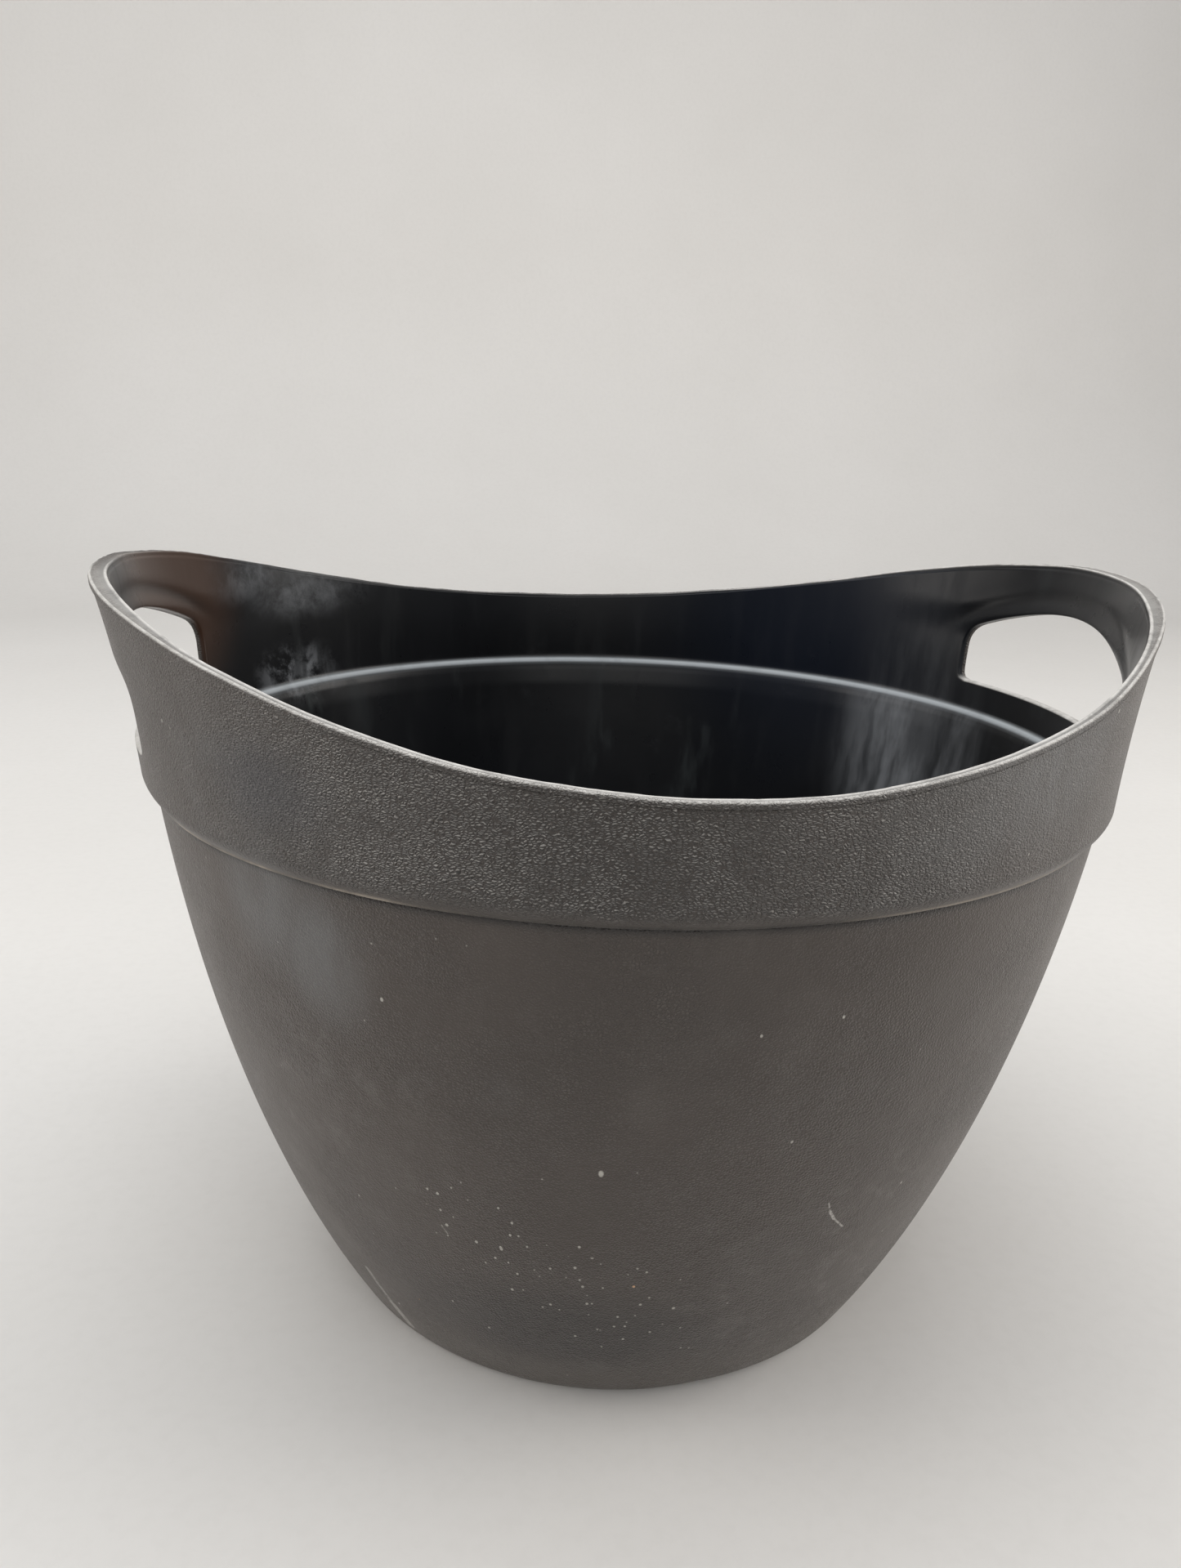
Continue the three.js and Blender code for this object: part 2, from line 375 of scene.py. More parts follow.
for cols, a0 in zip(hole_cols, (0.0, math.pi)):
    vs = [v for v in V_ROWS if V_HOLE[0] <= v <= V_HOLE[1]]
    loop = (
        [(vs[0], c) for c in cols[:-1]]
        + [(v, cols[-1]) for v in vs[:-1]]
        + [(vs[-1], c) for c in cols[::-1][:-1]]
        + [(v, cols[0]) for v in vs[::-1][:-1]]
    )
    m = len(loop)
    la = np.array([A[c] for _, c in loop])
    lrel = np.arctan2(np.sin(la - a0), np.cos(la - a0))
    lz = np.array([SHOULDER_Z + v * (rim_z(A[c]) - SHOULDER_Z) for v, c in loop])
    ly = collar_r(la, lz) * np.sin(lrel)
    want = np.unwrap(np.arctan2(lz - CENTRE[1], ly - CENTRE[0]))
    want = want - 2 * math.pi * np.round((want[0] - polar[0]) / (2 * math.pi))
    pol = np.concatenate([polar - 2 * math.pi, polar, polar + 2 * math.pi])
    o3 = np.concatenate([outline] * 3)
    n3 = np.concatenate([normal_out] * 3)
    oy = np.interp(want, pol, o3[:, 0])
    oz = np.interp(want, pol, o3[:, 1])
    ny = np.interp(want, pol, n3[:, 0])
    nz = np.interp(want, pol, n3[:, 1])
    nn = np.hypot(ny, nz)
    ny, nz = ny / nn, nz / nn
    lip_ids = []
    for share, mm, inner_end, off in LIP:
        y, z = oy + ny * off, oz + nz * off
        rel = solve_angle(y, z, share, mm, inner_end, a0)
        r = depth_r(rel + a0, z, share, mm, inner_end)
        verts.append(np.stack([r * np.cos(rel + a0), r * np.sin(rel + a0), z], -1))
        sill = smooth(0.55, 0.95, -nz)  # 1 where the edge faces up; the sill gets the rim's pale paint, scuffing together with painted sky sheen
        inside = 1.0 if inner_end else (share if share else 0.0)
        at = np.zeros((m, 5))
        at[:, 0] = inside
        at[:, 1] = sill * (0.85 if off < 0.5 else 0.45)
        attrs.append(at)
        lip_ids.append(count + np.arange(m))
        count += m
    q = np.arange(m)
    q2 = (q + 1) % m
    for k in range(len(lip_ids) - 1):
        a_, b_ = lip_ids[k], lip_ids[k + 1]
        faces.append(np.stack([a_[q], a_[q2], b_[q2], b_[q]], -1))
    for inner, idx, edge_ids in ((False, outer_index, lip_ids[0]), (True, inner_index, lip_ids[-1])):
        y, z = oy + ny * ROUND, oz + nz * ROUND
        rel_e = solve_angle(y, z, 0.0, 0.0, inner, a0)
        last = edge_ids
        for k in range(1, RINGS + 1):
            if k == RINGS:
                ids = np.array([vid(idx[v], c) for v, c in loop])
            else:
                w = (k / RINGS) ** 1.25
                rel = rel_e * (1 - w) + lrel * w
                zz = z * (1 - w) + lz * w
                if inner:
                    r0, dark = inner_r(rel + a0, zz)
                else:
                    r0, dark = collar_r(rel + a0, zz), np.zeros(m)
                r = r0 + ripple(rel + a0, zz)
                verts.append(np.stack([r * np.cos(rel + a0), r * np.sin(rel + a0), zz], -1))
                at = np.zeros((m, 5))
                at[:, 0] = 1.0 if inner else 0.0
                at[:, 4] = dark
                attrs.append(at)
                ids = count + np.arange(m)
                count += m
            if inner:
                faces.append(np.stack([last[q], last[q2], ids[q2], ids[q]], -1))
            else:
                faces.append(np.stack([ids[q], ids[q2], last[q2], last[q]], -1))
            last = ids

V = np.concatenate(verts) * 0.001
F = np.concatenate(faces)
AT = np.concatenate(attrs)
used = np.zeros(len(V), bool)
used[F.ravel()] = True
new = np.cumsum(used) - 1
V, AT, F = V[used], AT[used], new[F]


def make_mesh(name, v, f, attributes=None):
    me = bpy.data.meshes.new(name)
    me.vertices.add(len(v))
    me.vertices.foreach_set("co", np.asarray(v, np.float32).ravel())
    me.loops.add(f.size)
    me.loops.foreach_set("vertex_index", f.astype(np.int32).ravel())
    me.polygons.add(len(f))
    me.polygons.foreach_set("loop_start", np.arange(0, f.size, f.shape[1], dtype=np.int32))
    me.polygons.foreach_set("loop_total", np.full(len(f), f.shape[1], np.int32))
    me.update(calc_edges=True)
    me.validate()
    me.polygons.foreach_set("use_smooth", np.ones(len(me.polygons), bool))
    for k, values in (attributes or {}).items():
        at = me.attributes.new(k, "FLOAT", "POINT")
        at.data.foreach_set("value", np.asarray(values, np.float32))
    ob = bpy.data.objects.new(name, me)
    bpy.context.scene.collection.objects.link(ob)
    return ob


tub = make_mesh(
    "tub_moulding",
    V,
    F,
    {"inside": AT[:, 0], "rim": AT[:, 1], "step": AT[:, 2], "crease": AT[:, 3], "groove": AT[:, 4]},
)


# ---- the plug, a fine lathe ----------------------------------------------------
def lathe(name, profile, n):
    """profile starts and ends on the axis."""
    prof = np.array(profile, float)
    a = np.linspace(0, 2 * math.pi, n, endpoint=False)
    body = prof[1:-1]
    v = [[0, 0, prof[0][1]]]
    for r, z in body:
        v += [[r * math.cos(t), r * math.sin(t), z] for t in a]
    v.append([0, 0, prof[-1][1]])
    f3, f4 = [], []
    for j in range(n):
        j2 = (j + 1) % n
        f3.append((0, 1 + j2, 1 + j))
        lastr = 1 + (len(body) - 1) * n
        f3.append((len(v) - 1, lastr + j, lastr + j2))
        for i in range(len(body) - 1):
            b = 1 + i * n
            f4.append((b + j, b + j2, b + n + j2, b + n + j))
    me = bpy.data.meshes.new(name)
    me.from_pydata([tuple(c * 0.001 for c in p) for p in v], [], f3 + f4)
    me.validate()
    me.polygons.foreach_set("use_smooth", np.ones(len(me.polygons), bool))
    ob = bpy.data.objects.new(name, me)
    bpy.context.scene.collection.objects.link(ob)
    return ob


def taper(z):
    return DRAIN_BOTTOM_R + (DRAIN_TOP_R - DRAIN_BOTTOM_R) * (z - RECESS_Z) / (FLOOR_Z - RECESS_Z) - 0.3


seat = FLOOR_Z + 0.3
plug_profile = [
    (0, 1.2), (6, 1.2), (9.4, 1.25), (10.1, 1.45), (10.8, 1.9), (11.25, 2.4), (taper(3.0), 3.1),
    (taper(4.6), 4.6), (taper(FLOOR_Z) - 0.05, FLOOR_Z - 0.1), (taper(FLOOR_Z), seat - 0.05), (12.7, seat),
    (16.9, seat), (17.6, seat + 0.18), (17.92, seat + 0.5), (18.0, seat + 0.9), (17.95, seat + 1.5),
    (17.7, seat + 2.05), (17.2, seat + 2.45), (16.4, seat + 2.6), (15.2, seat + 2.62), (14.6, seat + 2.45),
    (14.0, seat + 2.62), (10.2, seat + 2.8), (8.4, seat + 3.15), (7.2, seat + 3.8), (6.2, seat + 4.7),
    (5.6, seat + 5.9), (5.4, seat + 7.1), (5.55, seat + 8.2), (6.1, seat + 9.2), (6.9, seat + 10.2),
    (7.45, seat + 11.2), (7.6, seat + 12.1), (7.5, seat + 12.9), (7.1, seat + 13.6), (6.3, seat + 14.0),
    (5.2, seat + 14.2), (3.4, seat + 14.28), (0, seat + 14.3),
]
plug = lathe("drain_plug_bung", plug_profile, 96)


# ---- materials -----------------------------------------------------------------
class Nodes:
    """A small helper: each call adds a node and returns the output that is wanted."""

    def __init__(self, name):
        self.mat = bpy.data.materials.new(name)
        self.mat.use_nodes = True
        self.t = self.mat.node_tree
        self.t.nodes.clear()
        self.out = self.t.nodes.new("ShaderNodeOutputMaterial")
        self.bsdf = self.t.nodes.new("ShaderNodeBsdfPrincipled")
        self.t.links.new(self.bsdf.outputs[0], self.out.inputs[0])
        self.pos = self.t.nodes.new("ShaderNodeTexCoord").outputs["Object"]

    def put(self, socket, value):
        if isinstance(value, bpy.types.NodeSocket):
            self.t.links.new(value, socket)
        else:
            socket.default_value = value

    def math(self, op, a, b=0.0, c=0.0, clamp=False):
        n = self.t.nodes.new("ShaderNodeMath")
        n.operation = op
        n.use_clamp = clamp
        for s, v in zip(n.inputs, (a, b, c)):
            self.put(s, v)
        return n.outputs[0]

    def mul(self, *v):
        out = v[0]
        for x in v[1:]:
            out = self.math("MULTIPLY", out, x)
        return out

    def add(self, *v):
        out = v[0]
        for x in v[1:]:
            out = self.math("ADD", out, x)
        return out

    def step(self, value, lo, hi, a=0.0, b=1.0):
        """Smooth step from a at lo to b at hi."""
        n = self.t.nodes.new("ShaderNodeMapRange")
        n.interpolation_type = "SMOOTHSTEP"
        self.put(n.inputs["Value"], value)
        self.put(n.inputs["From Min"], lo)
        self.put(n.inputs["From Max"], hi)
        self.put(n.inputs["To Min"], a)
        self.put(n.inputs["To Max"], b)
        return n.outputs[0]

    def attr(self, name):
        n = self.t.nodes.new("ShaderNodeAttribute")
        n.attribute_name = name
        return n.outputs["Fac"]

    def stretch(self, vec, scale, offset=(0, 0, 0)):
        n = self.t.nodes.new("ShaderNodeMapping")
        self.put(n.inputs["Vector"], vec)
        n.inputs["Scale"].default_value = scale
        n.inputs["Location"].default_value = offset
        return n.outputs[0]

    def noise(self, scale, detail=3.0, rough=0.5, vec=None, distortion=0.0, colour=False):
        n = self.t.nodes.new("ShaderNodeTexNoise")
        self.put(n.inputs["Vector"], vec if vec is not None else self.pos)
        n.inputs["Scale"].default_value = scale
        n.inputs["Detail"].default_value = detail
        n.inputs["Roughness"].default_value = rough
        n.inputs["Distortion"].default_value = distortion
        return n.outputs["Color" if colour else "Fac"]

    def voronoi(self, scale, feature="F1", vec=None, out="Distance", rand=1.0):
        n = self.t.nodes.new("ShaderNodeTexVoronoi")
        n.feature = feature
        self.put(n.inputs["Vector"], vec if vec is not None else self.pos)
        n.inputs["Scale"].default_value = scale
        n.inputs["Randomness"].default_value = rand
        return n.outputs[out]

    def mix(self, f, a, b):
        n = self.t.nodes.new("ShaderNodeMix")
        n.data_type = "RGBA"
        self.put(n.inputs[0], f)
        self.put(n.inputs[6], a)
        self.put(n.inputs[7], b)
        return n.outputs[2]

    def mixf(self, f, a, b):
        n = self.t.nodes.new("ShaderNodeMix")
        n.data_type = "FLOAT"
        self.put(n.inputs[0], f)
        self.put(n.inputs[2], a)
        self.put(n.inputs[3], b)
        return n.outputs[0]

    def sep(self, vec=None):
        n = self.t.nodes.new("ShaderNodeSeparateXYZ")
        self.put(n.inputs[0], vec if vec is not None else self.pos)
        return n.outputs

    def vec(self, x, y, z):
        n = self.t.nodes.new("ShaderNodeCombineXYZ")
        for s, v in zip(n.inputs, (x, y, z)):
            self.put(s, v)
        return n.outputs[0]

    def warp(self, vec, amount, scale, detail=2.0):
        c = self.noise(scale, detail, 0.5, vec, colour=True)
        n = self.t.nodes.new("ShaderNodeVectorMath")
        n.operation = "MULTIPLY_ADD"
        self.put(n.inputs[0], c)
        n.inputs[1].default_value = (amount,) * 3
        self.put(n.inputs[2], vec)
        return n.outputs[0]

    def near(self, point, radius, soft, squash=(1, 1, 1)):
        """1 within radius of a point, falling to 0 over soft; squash stretches it per axis."""
        n = self.t.nodes.new("ShaderNodeVectorMath")
        n.operation = "SUBTRACT"
        self.put(n.inputs[0], self.pos)
        n.inputs[1].default_value = point
        m = self.t.nodes.new("ShaderNodeVectorMath")
        m.operation = "MULTIPLY"
        self.put(m.inputs[0], n.outputs[0])
        m.inputs[1].default_value = squash
        k = self.t.nodes.new("ShaderNodeVectorMath")
        k.operation = "LENGTH"
        self.put(k.inputs[0], m.outputs[0])
        return self.step(k.outputs["Value"], radius + soft, radius)

    def line(self, p, q, width, soft):
        """1 within width of the straight stretch from p to q."""
        p, q = Vector(p), Vector(q)
        d = q - p
        n = self.t.nodes.new("ShaderNodeVectorMath")
        n.operation = "SUBTRACT"
        self.put(n.inputs[0], self.pos)
        n.inputs[1].default_value = p
        k = self.t.nodes.new("ShaderNodeVectorMath")
        k.operation = "DOT_PRODUCT"
        self.put(k.inputs[0], n.outputs[0])
        k.inputs[1].default_value = d / d.length_squared
        t = self.math("MULTIPLY", k.outputs["Value"], 1.0, clamp=True)
        s = self.t.nodes.new("ShaderNodeVectorMath")
        s.operation = "SCALE"
        s.inputs[0].default_value = d
        self.put(s.inputs["Scale"], t)
        e = self.t.nodes.new("ShaderNodeVectorMath")
        e.operation = "DISTANCE"
        self.put(e.inputs[0], n.outputs[0])
        self.put(e.inputs[1], s.outputs[0])
        return self.step(e.outputs["Value"], width + soft, width)

    def bump(self, height, distance, strength=1.0, below=None):
        n = self.t.nodes.new("ShaderNodeBump")
        n.inputs["Strength"].default_value = strength
        n.inputs["Distance"].default_value = distance
        self.put(n.inputs["Height"], height)
        if below is not None:
            self.put(n.inputs["Normal"], below)
        return n.outputs[0]


def rgb(r, g, b):
    return (r, g, b, 1.0)


def plastic():
    n = Nodes("grained_plastic")
    x, y, z = n.sep()
    inside = n.step(n.attr("inside"), 0.35, 0.65)
    outside = n.math("SUBTRACT", 1.0, inside)
    rim = n.attr("rim")
    step = n.attr("step")
    crease = n.attr("crease")
    groove_shade_paint = n.attr("groove")
    band = n.step(z, 0.1900, 0.1906)  # above the crease

    # outside: leather grain, coarse worm-like folds on the collar and finer below
    bent = n.warp(n.pos, 0.0017, 330)
    cells = n.voronoi(800, "DISTANCE_TO_EDGE", n.stretch(bent, (1, 1, 1.95)))
    above = n.voronoi(800, "DISTANCE_TO_EDGE", n.stretch(bent, (1, 1, 1.95), (0, 0, 0.00022)))
    below = n.voronoi(800, "DISTANCE_TO_EDGE", n.stretch(bent, (1, 1, 1.95), (0, 0, -0.00022)))
    tilt = n.math("SUBTRACT", below, above)  # positive where a fold faces up
    folds = n.noise(560, 2, 0.5, n.stretch(n.pos, (1, 1, 1.7)), 1.4)
    patch = n.step(n.noise(19, 3, 0.5), 0.30, 0.60, 0.65, 1.0)
    strong = n.add(0.30, n.mul(n.near(GRAIN_AT, 0.060, 0.070), 0.70), n.mul(n.near(GRAIN_BACK, 0.090, 0.070), 0.55))
    fade = n.step(z, 0.1912, 0.1950, 0.12, 1.0)  # the grain dies out on the shoulder
    coarse = n.mul(n.add(n.mul(n.step(cells, 0.0, 0.30), 0.75), n.mul(n.step(folds, 0.34, 0.66), 0.55)), patch, fade, n.mixf(strong, 0.30, 1.0))
    fine_edge = n.voronoi(1050, "DISTANCE_TO_EDGE", n.warp(n.pos, 0.0010, 600))
    fine = n.add(n.mul(n.step(fine_edge, 0.0, 0.33), 0.45), n.mul(n.noise(330, 3, 0.6), 0.75))
    calm = n.step(n.noise(23, 3), 0.34, 0.62, 0.35, 0.85)
    grain = n.mixf(band, n.mul(fine, calm), coarse)
    # the plastic's own colour: warm dark grey, a little bluer where it is dusty
    tone = n.noise(14, 4, 0.55)
    tone2 = n.noise(55, 5, 0.6)
    base = n.mix(n.step(tone, 0.3, 0.7), rgb(0.0395, 0.0300, 0.0243), rgb(0.0500, 0.0385, 0.0318))
    base = n.mix(n.mul(n.step(tone2, 0.52, 0.74), 0.28), base, rgb(0.072, 0.062, 0.054))
    base = n.mix(n.mul(band, strong, 0.42), base, rgb(0.0215, 0.0168, 0.0140))
    # painted highlight on the upper sides of the folds, painted shade on their undersides
    fold_highlight_paint = n.mul(band, fade, strong, n.step(tilt, 0.07, 0.17), n.step(n.noise(75, 3), 0.36, 0.60, 0.50, 1.0), 1.0)
    under = n.mul(band, fade, strong, n.step(tilt, -0.02, -0.10), 1.0)
    base = n.mix(under, base, rgb(0.0135, 0.0110, 0.0095))
    base = n.mix(fold_highlight_paint, base, rgb(0.300, 0.285, 0.264))
    # on the body below the collar: painted shade in the fine grain's valleys, and pale flecks on the cell tops as
    # painted glints
    base = n.mix(n.mul(n.math("SUBTRACT", 1.0, band), calm, n.step(fine_edge, 0.12, 0.02), 0.34), base, rgb(0.020, 0.0160, 0.0135))
    grain_glint_paint = n.mul(n.math("SUBTRACT", 1.0, band), calm, n.step(fine_edge, 0.22, 0.34), n.step(n.noise(90, 3), 0.44, 0.66), 0.32)
    base = n.mix(grain_glint_paint, base, rgb(0.135, 0.120, 0.105))
    # painted shade on the down-facing shoulder at the foot of the collar
    shoulder_shade_paint = n.mul(band, n.step(z, 0.1975, 0.1920), 0.50)
    base = n.mix(shoulder_shade_paint, base, rgb(0.0225, 0.0175, 0.0148))
    # painted shadow under the collar's overhanging edge
    collar_shadow_paint = n.mul(n.step(z, 0.1862, 0.1896), n.math("SUBTRACT", 1.0, band), 0.92)
    base = n.mix(collar_shadow_paint, base, rgb(0.0130, 0.0100, 0.0085))
    # lower body a little darker in broad soft patches
    base = n.mix(n.mul(n.step(z, 0.11, 0.05), n.step(n.noise(9, 2), 0.40, 0.7), 0.40), base, rgb(0.0300, 0.0240, 0.0205))
    # painted bluish sheen high on the left of the collar
    base = n.mix(n.mul(n.near(SMUDGES_AND_SHEEN[4], 0.004, 0.026, (1, 1, 1.6)), 0.55), base, rgb(0.0270, 0.0285, 0.0370))

    # painted shade low on the front of the body
    base = n.mix(n.mul(n.near(BELLY_SHADE, 0.018, 0.050, (1, 1, 2.0)), 0.80), base, rgb(0.0150, 0.0120, 0.0110))
    frost = n.mul(n.step(n.noise(120, 6, 0.72), 0.50, 0.68), n.add(n.mul(n.near(FROST[0], 0.025, 0.050), 0.42), n.mul(n.near(FROST[1], 0.020, 0.050), 0.26), 0.06))
    base = n.mix(frost, base, rgb(0.120, 0.110, 0.100))
    base = n.mix(n.mul(n.step(n.noise(21, 5, 0.65, n.stretch(n.pos, (1, 1, 0.55))), 0.50, 0.76), 0.30), base, rgb(0.076, 0.066, 0.058))
    # painted light towards the foot, the bounce from the floor
    base = n.mix(n.mul(n.step(z, 0.030, 0.006), 0.55), base, rgb(0.074, 0.064, 0.053))

    # dusty smudges
    cloud = n.noise(38, 6, 0.65)
    wisps = n.noise(30, 5, 0.6, n.stretch(n.pos, (1, 1, 0.35)))
    dust = n.mul(n.near(SMUDGES_AND_SHEEN[0], 0.005, 0.020, (1, 1, 0.8)), n.step(wisps, 0.36, 0.62, 0.15, 1.0), 0.85)
    dust = n.math("MAXIMUM", dust, n.mul(n.near(SMUDGES_AND_SHEEN[1], 0.004, 0.020, (1, 1, 0.8)), n.step(wisps, 0.36, 0.62, 0.10, 1.0), 0.80))
    dust = n.math("MAXIMUM", dust, n.mul(n.near(SMUDGES_AND_SHEEN[2], 0.006, 0.024), n.step(cloud, 0.4, 0.7), 0.42))
    dust = n.math("MAXIMUM", dust, n.mul(n.near(SMUDGES_AND_SHEEN[3], 0.008, 0.034, (1, 1, 1.2)), n.step(cloud, 0.30, 0.66, 0.25, 1.0), 0.62))
    haze = n.mul(n.near(SMUDGES_AND_SHEEN[5], 0.010, 0.036, (1, 1, 1.3)), n.step(n.noise(60, 5, 0.65, n.stretch(n.pos, (1, 1, 0.6))), 0.30, 0.66, 0.3, 1.0), 1.0)
    dust = n.math("MAXIMUM", dust, haze)
    dust = n.add(dust, n.mul(n.step(n.noise(24, 6, 0.7), 0.56, 0.80), 0.20))
    # rubbed foot
    foot = n.mul(n.step(z, 0.014, 0.001), n.step(n.noise(120, 4, 0.6), 0.40, 0.66), 0.5)
    foot = n.math("MAXIMUM", foot, n.mul(n.step(z, 0.040, 0.006), n.step(n.noise(75, 5, 0.7), 0.55, 0.72), 0.30))
    base = n.mix(dust, base, rgb(0.118, 0.117, 0.116))
    base = n.mix(n.mul(haze, 0.22), base, rgb(0.185, 0.176, 0.168))
    base = n.mix(foot, base, rgb(0.085, 0.080, 0.074))

    # specks: splashed droplets low on the front, a few everywhere
    drop = n.stretch(n.pos, (1, 1, 0.72))
    spk = n.voronoi(360, "F1", drop)
    spk_pick = n.sep(n.voronoi(360, "F1", drop, out="Color"))
    region = n.add(
        n.mul(n.near(SPECKS[0], 0.012, 0.018, (1, 1, 1.2)), 0.72),
        n.mul(n.near(SPECKS[1], 0.008, 0.014, (1, 1, 0.8)), 0.72),
        n.mul(n.near(SPECKS[2], 0.010, 0.022, (1, 1, 1)), 0.35),
        0.014,
    )
    speck = n.mul(
        n.math("LESS_THAN", spk_pick[0], region),
        n.step(n.math("SUBTRACT", spk, n.mul(spk_pick[1], 0.09)), 0.125, 0.055),
    )
    fleck = n.voronoi(430, "F1")
    fleck_pick = n.sep(n.voronoi(430, "F1", out="Color"))
    speck = n.math("MAXIMUM", speck, n.mul(n.math("LESS_THAN", fleck_pick[0], n.mixf(band, 0.012, 0.016)), n.step(fleck, 0.17, 0.07), 0.75))
    speck = n.math("MAXIMUM", speck, n.near(BIG_SPECK, 0.0005, 0.0004, (1, 1, 0.55)))
    base = n.mix(n.mul(speck, 0.9), base, n.mix(n.mul(n.math("GREATER_THAN", spk_pick[2], 0.95), n.step(z, 0.11, 0.10)), rgb(0.42, 0.40, 0.36), rgb(0.66, 0.38, 0.21)))
    # scratches
    scratch = 0.0
    for p, q, w, k in SCRATCHES:
        one = n.mul(n.line(p, q, w, w * 0.9), n.step(n.noise(900, 3, 0.6), 0.30, 0.52), k)
        scratch = one if isinstance(scratch, float) else n.math("MAXIMUM", scratch, one)
    base = n.mix(scratch, base, rgb(0.42, 0.40, 0.37))
    # the crease painted dark as the shadow under the collar's edge, with a pale hairline along its lip, strongest at
    # two places on the sides
    hairline_breakup = n.step(n.noise(46, 3, 0.6), 0.34, 0.62, 0.35, 1.0)
    flash = n.add(0.10, n.mul(n.near(CREASE_AT[0], 0.030, 0.055), 0.90), n.mul(n.near(CREASE_AT[1], 0.015, 0.050), 0.60))
    base = n.mix(n.mul(crease, 0.8), base, rgb(0.0095, 0.0075, 0.0065))
    base = n.mix(n.mul(crease, hairline_breakup, flash), base, rgb(0.32, 0.275, 0.225))

    # inside: smooth and glossier, blue-black, with dried water runs
    run_vec = n.stretch(n.warp(n.pos, 0.004, 60), (1, 1, 0.085))
    runs = n.step(n.noise(95, 4, 0.55, run_vec), 0.50, 0.72)
    runs2 = n.step(n.noise(34, 3, 0.5, run_vec), 0.46, 0.68)
    in_base = n.mix(n.step(n.noise(11, 3), 0.35, 0.65), rgb(0.0028, 0.0032, 0.0042), rgb(0.0048, 0.0055, 0.0072))
    low = n.step(z, 0.197, 0.188)
    in_base = n.mix(n.mul(runs, runs2, n.mixf(low, 0.22, 0.55)), in_base, rgb(0.030, 0.036, 0.037))
    streak = n.noise(150, 3, 0.5, run_vec)
    puff = n.noise(70, 6, 0.7, n.warp(n.pos, 0.012, 45))
    fog = n.mul(n.near(INSIDE[0], 0.002, 0.028, (0.65, 0.65, 2.1)), n.step(puff, 0.36, 0.70, 0.12, 1.0), 0.40)
    fog = n.math("MAXIMUM", fog, n.mul(n.near(INSIDE[6], 0.002, 0.026, (0.7, 0.7, 2.1)), n.step(puff, 0.36, 0.70, 0.12, 1.0), 0.44))
    fog = n.math("MAXIMUM", fog, n.mul(n.near(INSIDE[1], 0.001, 0.024, (0.8, 0.8, 1.5)), n.step(puff, 0.42, 0.62), n.step(streak, 0.34, 0.58, 0.3, 1.0), 0.75))
    right_run = n.mul(n.near(INSIDE[2], 0.008, 0.040, (1, 1, 0.6)), n.step(wisps, 0.34, 0.60, 0.3, 1.0), n.step(streak, 0.30, 0.60, 0.35, 1.0))
    fog = n.math("MAXIMUM", fog, n.mul(right_run, n.mixf(low, 0.20, 0.85)))
    fog = n.math("MAXIMUM", fog, n.mul(n.step(n.noise(26, 5, 0.65), 0.58, 0.78), 0.06))
    # painted bluish reflection on the inside at the back right
    in_base = n.mix(n.mul(n.near(INSIDE[5], 0.015, 0.085), 0.75), in_base, rgb(0.0062, 0.0092, 0.0175))
    in_base = n.mix(fog, in_base, rgb(0.205, 0.215, 0.230))
    # a brown cast over the inside of the left grip
    in_base = n.mix(n.mul(n.near(INSIDE[3], 0.020, 0.035), 0.9), in_base, rgb(0.054, 0.027, 0.016))
    # painted shade in the channel along each grip
    in_base = n.mix(n.mul(groove_shade_paint, 0.45), in_base, rgb(0.0035, 0.0035, 0.004))
    # a pale line painted along the ledge's rounded edge as a highlight, and silt on the floor
    ledge = n.mul(step, n.step(n.noise(70, 4, 0.6), 0.18, 0.50, 0.72, 1.0))
    in_base = n.mix(n.mul(ledge, 0.92), in_base, rgb(0.46, 0.49, 0.51))
    silt = n.mul(n.step(z, 0.0125, 0.0066), n.step(n.noise(95, 6, 0.7), 0.36, 0.70), 0.36)
    in_base = n.mix(silt, in_base, rgb(0.085, 0.074, 0.058))

    colour = n.mix(inside, base, in_base)
    # the rim and the sills: scuffed, and painted pale as the sheen of sky light on their up-facing faces; darker
    # where the wear has missed
    wear_and_sheen_breakup = n.step(n.add(n.noise(190, 5, 0.7), n.mul(n.noise(31, 2), 0.5)), 0.52, 0.80, 0.62, 1.0)
    pale = n.mul(n.step(rim, 0.05, 1.0), wear_and_sheen_breakup)
    colour = n.mix(pale, colour, n.mix(n.noise(210, 4, 0.6), rgb(0.42, 0.40, 0.375), rgb(0.80, 0.775, 0.735)))
    n.put(n.bsdf.inputs["Base Color"], colour)

    rough_out = n.add(0.40, n.mul(n.noise(70, 4, 0.6), 0.14), n.mul(dust, 0.2))
    rough_in = n.add(0.22, n.mul(n.noise(40, 4, 0.6), 0.14), n.mul(fog, 0.4), n.mul(runs, 0.10))
    rough = n.mixf(inside, rough_out, rough_in)
    n.put(n.bsdf.inputs["Roughness"], n.mixf(pale, rough, 0.62))
    n.bsdf.inputs["IOR"].default_value = 1.5
    n.put(n.bsdf.inputs["Specular IOR Level"], n.mixf(inside, 0.50, n.mixf(fog, 0.22, 0.5)))
    n.bsdf.inputs["Sheen Weight"].default_value = 0.14
    n.bsdf.inputs["Sheen Roughness"].default_value = 0.45
    n.bsdf.inputs["Sheen Tint"].default_value = (1.0, 0.95, 0.90, 1)

    small = n.noise(300, 4, 0.6)
    ragged_rim = n.mul(n.noise(900, 4, 0.7), n.step(rim, 0.2, 0.9))
    h_out = n.mul(outside, grain)
    nb = n.bump(h_out, 0.00055, 1.0)
    nb = n.bump(n.add(n.mul(ragged_rim, 0.8), n.mul(inside, small, 0.10), n.mul(speck, outside, 0.9), n.mul(scratch, outside, -0.6) if not isinstance(scratch, float) else 0.0), 0.00025, 0.8, nb)
    n.put(n.bsdf.inputs["Normal"], nb)
    return n.mat


